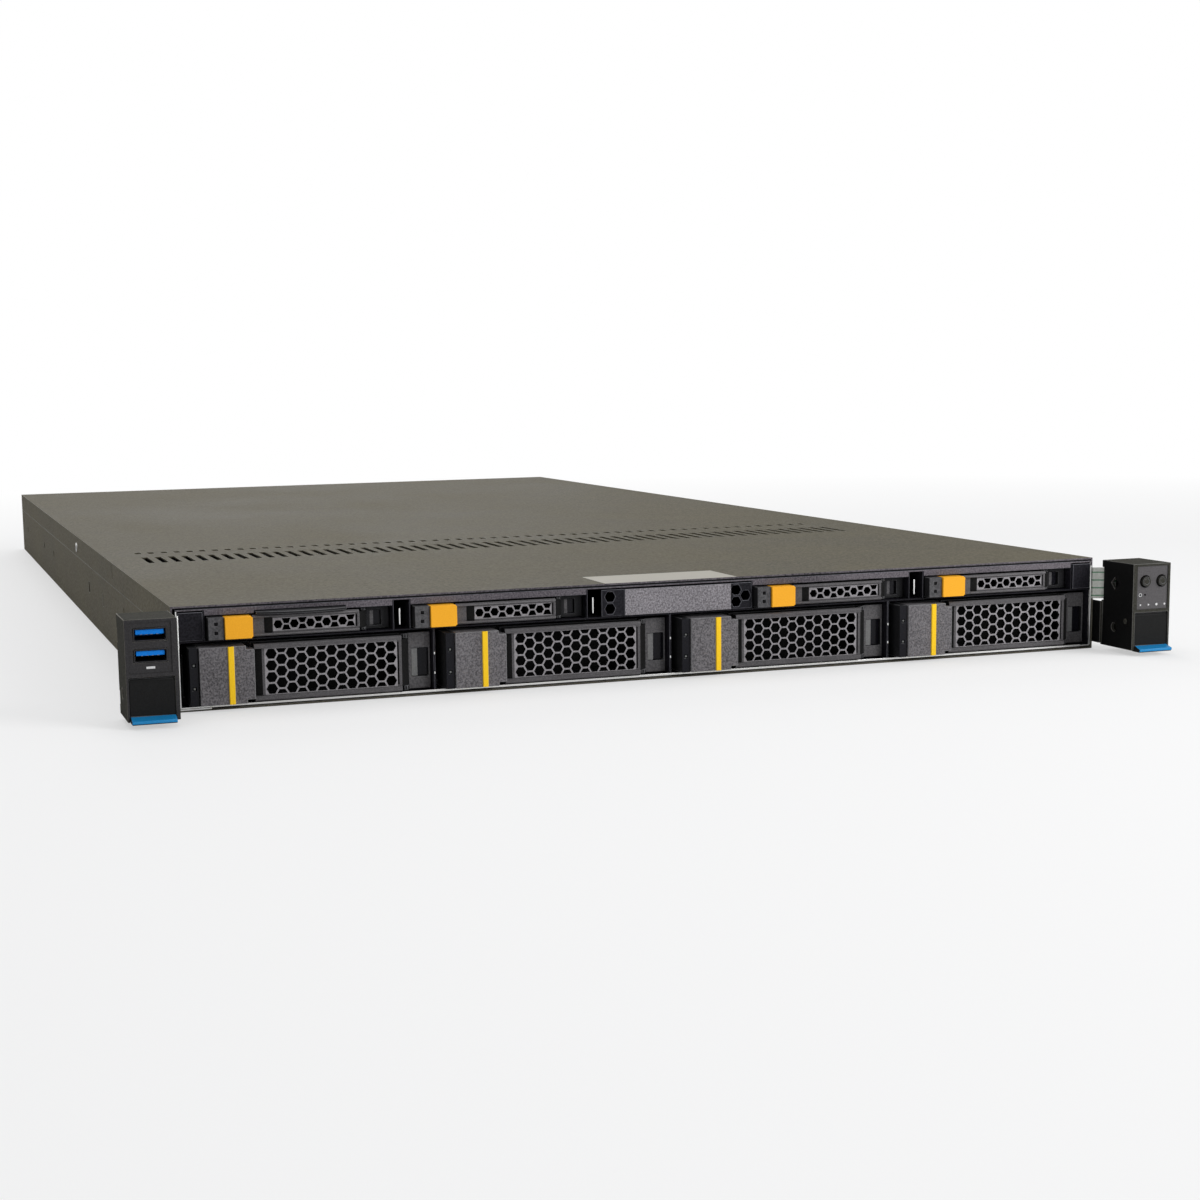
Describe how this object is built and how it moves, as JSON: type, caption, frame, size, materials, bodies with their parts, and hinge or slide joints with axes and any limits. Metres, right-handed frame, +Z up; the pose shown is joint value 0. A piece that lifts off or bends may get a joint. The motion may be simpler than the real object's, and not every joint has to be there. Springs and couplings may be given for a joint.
{
  "type": "1u rack server",
  "caption": "Rack server one unit high with a front cage of hot-swap drive trays with honeycomb levers, rack ears, fans, main board and rear power supplies.",
  "frame": {"origin": "underside of the chassis floor, at mid width, on the plane of the drive cage's front edge", "axes": "+X to the right seen from the front, +Y from the front to the back, +Z up"},
  "size_m": [0.4826, 0.8758, 0.0435],
  "materials": {
    "chassis_steel": "fine textured powder coat, warm dark grey",
    "cover_steel": "fine textured powder coat, warm dark grey",
    "cage_steel": "dark coated sheet, cut edges bare",
    "tray_plastic": "moulded, fine grain",
    "lever_plastic": "moulded, fine grain",
    "button_plastic": "moulded, spark-eroded grain, orange stripe",
    "orange_plastic": "moulded, satin",
    "drive_case": "cast, matt",
    "blank_plastic": "moulded, spark-eroded grain",
    "tag_plastic": "smooth",
    "ear_steel": "satin coat, dark grey",
    "latch_plastic": "smooth satin, blue lip",
    "port_metal": "nickel plated",
    "push_plastic": "moulded, satin",
    "ribbon_film": "laminated film, pale",
    "board": "laminate with solder mask",
    "fan_plastic": "moulded, fine grain",
    "sink_metal": "extruded, bright",
    "psu_steel": "plated sheet",
    "psu_latch_plastic": "moulded, satin",
    "screw_steel": "zinc plated",
    "bracket_steel": "plated sheet"
  },
  "bodies": {
    "chassis": {"chassis_base": "chassis_steel", "front_cover": "cover_steel", "drive_cage": "cage_steel", "upper_blanks": "blank_plastic", "drive_backplane": "board", "fan_housings": "fan_plastic", "motherboard": "board", "heatsinks": "sink_metal", "memory_modules": "board", "rear_wall": "bracket_steel", "rear_ports": "port_metal", "left_ear": "ear_steel", "right_ear": "ear_steel", "usb_ports": "port_metal", "ear_ribbons": "ribbon_film"},
    "rear_cover": {"rear_cover": "cover_steel", "cover_screws": "screw_steel"},
    "pull_tag": {"pull_tag": "tag_plastic"},
    "large_tray_1": {"large_tray_1": "tray_plastic", "large_drive_1": "drive_case"},
    "large_lever_1": {"large_lever_1": "lever_plastic"},
    "large_button_1": {"large_button_1": "button_plastic"},
    "slim_tray_1": {"slim_tray_1": "tray_plastic"},
    "slim_lever_1": {"slim_lever_1": "lever_plastic"},
    "slim_button_1": {"slim_button_1": "orange_plastic"},
    "large_tray_2": {"large_tray_2": "tray_plastic", "large_drive_2": "drive_case"},
    "large_lever_2": {"large_lever_2": "lever_plastic"},
    "large_button_2": {"large_button_2": "button_plastic"},
    "slim_tray_2": {"slim_tray_2": "tray_plastic"},
    "slim_lever_2": {"slim_lever_2": "lever_plastic"},
    "slim_button_2": {"slim_button_2": "orange_plastic"},
    "large_tray_3": {"large_tray_3": "tray_plastic", "large_drive_3": "drive_case"},
    "large_lever_3": {"large_lever_3": "lever_plastic"},
    "large_button_3": {"large_button_3": "button_plastic"},
    "slim_tray_3": {"slim_tray_3": "tray_plastic"},
    "slim_lever_3": {"slim_lever_3": "lever_plastic"},
    "slim_button_3": {"slim_button_3": "orange_plastic"},
    "large_tray_4": {"large_tray_4": "tray_plastic", "large_drive_4": "drive_case"},
    "large_lever_4": {"large_lever_4": "lever_plastic"},
    "large_button_4": {"large_button_4": "button_plastic"},
    "slim_tray_4": {"slim_tray_4": "tray_plastic"},
    "slim_lever_4": {"slim_lever_4": "lever_plastic"},
    "slim_button_4": {"slim_button_4": "orange_plastic"},
    "fan_rotor_1": {"fan_rotor_1": "fan_plastic"},
    "fan_rotor_2": {"fan_rotor_2": "fan_plastic"},
    "fan_rotor_3": {"fan_rotor_3": "fan_plastic"},
    "fan_rotor_4": {"fan_rotor_4": "fan_plastic"},
    "fan_rotor_5": {"fan_rotor_5": "fan_plastic"},
    "fan_rotor_6": {"fan_rotor_6": "fan_plastic"},
    "psu_1": {"psu_1": "psu_steel"},
    "psu_latch_1": {"psu_latch_1": "psu_latch_plastic"},
    "psu_2": {"psu_2": "psu_steel"},
    "psu_latch_2": {"psu_latch_2": "psu_latch_plastic"},
    "left_ear_latch": {"left_ear_latch": "latch_plastic"},
    "right_ear_latch": {"right_ear_latch": "latch_plastic"},
    "power_button": {"power_button": "push_plastic"},
    "id_button": {"id_button": "push_plastic"}
  },
  "joints": [
    {"name": "rear_cover_lift", "type": "slide", "parent": "chassis", "child": "rear_cover", "axis": [0, 0, 1], "range_m": [0, 0.1]},
    {"name": "pull_tag_slide", "type": "slide", "parent": "chassis", "child": "pull_tag", "axis": [0, -1, 0], "range_m": [0, 0.045]},
    {"name": "large_tray_1_slide", "type": "slide", "parent": "chassis", "child": "large_tray_1", "axis": [0, -1, 0], "range_m": [0, 0.165]},
    {"name": "large_lever_1_swing", "type": "hinge", "parent": "large_tray_1", "child": "large_lever_1", "pos_m": [-0.12079, 0.0033, 0.0147], "axis": [0, 0, 1], "range_deg": [0, 60]},
    {"name": "large_button_1_press", "type": "slide", "parent": "large_tray_1", "child": "large_button_1", "axis": [0, 1, 0], "range_m": [0, 0.0015], "stiffness_N_per_m": 600},
    {"name": "slim_tray_1_slide", "type": "slide", "parent": "chassis", "child": "slim_tray_1", "axis": [0, -1, 0], "range_m": [0, 0.165]},
    {"name": "slim_lever_1_swing", "type": "hinge", "parent": "slim_tray_1", "child": "slim_lever_1", "pos_m": [-0.13867, 0.0033, 0.03415], "axis": [0, 0, 1], "range_deg": [0, 60]},
    {"name": "slim_button_1_press", "type": "slide", "parent": "slim_tray_1", "child": "slim_button_1", "axis": [0, 1, 0], "range_m": [0, 0.0015], "stiffness_N_per_m": 600},
    {"name": "large_tray_2_slide", "type": "slide", "parent": "chassis", "child": "large_tray_2", "axis": [0, -1, 0], "range_m": [0, 0.165]},
    {"name": "large_lever_2_swing", "type": "hinge", "parent": "large_tray_2", "child": "large_lever_2", "pos_m": [-0.01229, 0.0033, 0.0147], "axis": [0, 0, 1], "range_deg": [0, 60]},
    {"name": "large_button_2_press", "type": "slide", "parent": "large_tray_2", "child": "large_button_2", "axis": [0, 1, 0], "range_m": [0, 0.0015], "stiffness_N_per_m": 600},
    {"name": "slim_tray_2_slide", "type": "slide", "parent": "chassis", "child": "slim_tray_2", "axis": [0, -1, 0], "range_m": [0, 0.165]},
    {"name": "slim_lever_2_swing", "type": "hinge", "parent": "slim_tray_2", "child": "slim_lever_2", "pos_m": [-0.05167, 0.0033, 0.03415], "axis": [0, 0, 1], "range_deg": [0, 60]},
    {"name": "slim_button_2_press", "type": "slide", "parent": "slim_tray_2", "child": "slim_button_2", "axis": [0, 1, 0], "range_m": [0, 0.0015], "stiffness_N_per_m": 600},
    {"name": "large_tray_3_slide", "type": "slide", "parent": "chassis", "child": "large_tray_3", "axis": [0, -1, 0], "range_m": [0, 0.165]},
    {"name": "large_lever_3_swing", "type": "hinge", "parent": "large_tray_3", "child": "large_lever_3", "pos_m": [0.09621, 0.0033, 0.0147], "axis": [0, 0, 1], "range_deg": [0, 60]},
    {"name": "large_button_3_press", "type": "slide", "parent": "large_tray_3", "child": "large_button_3", "axis": [0, 1, 0], "range_m": [0, 0.0015], "stiffness_N_per_m": 600},
    {"name": "slim_tray_3_slide", "type": "slide", "parent": "chassis", "child": "slim_tray_3", "axis": [0, -1, 0], "range_m": [0, 0.165]},
    {"name": "slim_lever_3_swing", "type": "hinge", "parent": "slim_tray_3", "child": "slim_lever_3", "pos_m": [0.10673, 0.0033, 0.03415], "axis": [0, 0, 1], "range_deg": [0, 60]},
    {"name": "slim_button_3_press", "type": "slide", "parent": "slim_tray_3", "child": "slim_button_3", "axis": [0, 1, 0], "range_m": [0, 0.0015], "stiffness_N_per_m": 600},
    {"name": "large_tray_4_slide", "type": "slide", "parent": "chassis", "child": "large_tray_4", "axis": [0, -1, 0], "range_m": [0, 0.165]},
    {"name": "large_lever_4_swing", "type": "hinge", "parent": "large_tray_4", "child": "large_lever_4", "pos_m": [0.20471, 0.0033, 0.0147], "axis": [0, 0, 1], "range_deg": [0, 60]},
    {"name": "large_button_4_press", "type": "slide", "parent": "large_tray_4", "child": "large_button_4", "axis": [0, 1, 0], "range_m": [0, 0.0015], "stiffness_N_per_m": 600},
    {"name": "slim_tray_4_slide", "type": "slide", "parent": "chassis", "child": "slim_tray_4", "axis": [0, -1, 0], "range_m": [0, 0.165]},
    {"name": "slim_lever_4_swing", "type": "hinge", "parent": "slim_tray_4", "child": "slim_lever_4", "pos_m": [0.19373, 0.0033, 0.03415], "axis": [0, 0, 1], "range_deg": [0, 60]},
    {"name": "slim_button_4_press", "type": "slide", "parent": "slim_tray_4", "child": "slim_button_4", "axis": [0, 1, 0], "range_m": [0, 0.0015], "stiffness_N_per_m": 600},
    {"name": "fan_1_spin", "type": "hinge", "parent": "chassis", "child": "fan_rotor_1", "pos_m": [-0.17, 0.2745, 0.0212], "axis": [0, 1, 0], "continuous": true},
    {"name": "fan_2_spin", "type": "hinge", "parent": "chassis", "child": "fan_rotor_2", "pos_m": [-0.102, 0.2745, 0.0212], "axis": [0, 1, 0], "continuous": true},
    {"name": "fan_3_spin", "type": "hinge", "parent": "chassis", "child": "fan_rotor_3", "pos_m": [-0.034, 0.2745, 0.0212], "axis": [0, 1, 0], "continuous": true},
    {"name": "fan_4_spin", "type": "hinge", "parent": "chassis", "child": "fan_rotor_4", "pos_m": [0.034, 0.2745, 0.0212], "axis": [0, 1, 0], "continuous": true},
    {"name": "fan_5_spin", "type": "hinge", "parent": "chassis", "child": "fan_rotor_5", "pos_m": [0.102, 0.2745, 0.0212], "axis": [0, 1, 0], "continuous": true},
    {"name": "fan_6_spin", "type": "hinge", "parent": "chassis", "child": "fan_rotor_6", "pos_m": [0.17, 0.2745, 0.0212], "axis": [0, 1, 0], "continuous": true},
    {"name": "psu_1_slide", "type": "slide", "parent": "chassis", "child": "psu_1", "axis": [0, 1, 0], "range_m": [0, 0.18]},
    {"name": "psu_latch_1_press", "type": "slide", "parent": "psu_1", "child": "psu_latch_1", "axis": [-1, 0, 0], "range_m": [0, 0.002], "stiffness_N_per_m": 800},
    {"name": "psu_2_slide", "type": "slide", "parent": "chassis", "child": "psu_2", "axis": [0, 1, 0], "range_m": [0, 0.18]},
    {"name": "psu_latch_2_press", "type": "slide", "parent": "psu_2", "child": "psu_latch_2", "axis": [-1, 0, 0], "range_m": [0, 0.002], "stiffness_N_per_m": 800},
    {"name": "left_ear_latch_flip", "type": "hinge", "parent": "chassis", "child": "left_ear_latch", "pos_m": [-0.2313, -0.0268, 0.0184], "axis": [-1, 0, 0], "range_deg": [0, 60], "stiffness_Nm_per_rad": 0.02},
    {"name": "right_ear_latch_flip", "type": "hinge", "parent": "chassis", "child": "right_ear_latch", "pos_m": [0.2313, -0.0268, 0.0184], "axis": [-1, 0, 0], "range_deg": [0, 60], "stiffness_Nm_per_rad": 0.02},
    {"name": "power_button_press", "type": "slide", "parent": "chassis", "child": "power_button", "axis": [0, 1, 0], "range_m": [0, 0.0006], "stiffness_N_per_m": 500},
    {"name": "id_button_press", "type": "slide", "parent": "chassis", "child": "id_button", "axis": [0, 1, 0], "range_m": [0, 0.0006], "stiffness_N_per_m": 500}
  ]
}
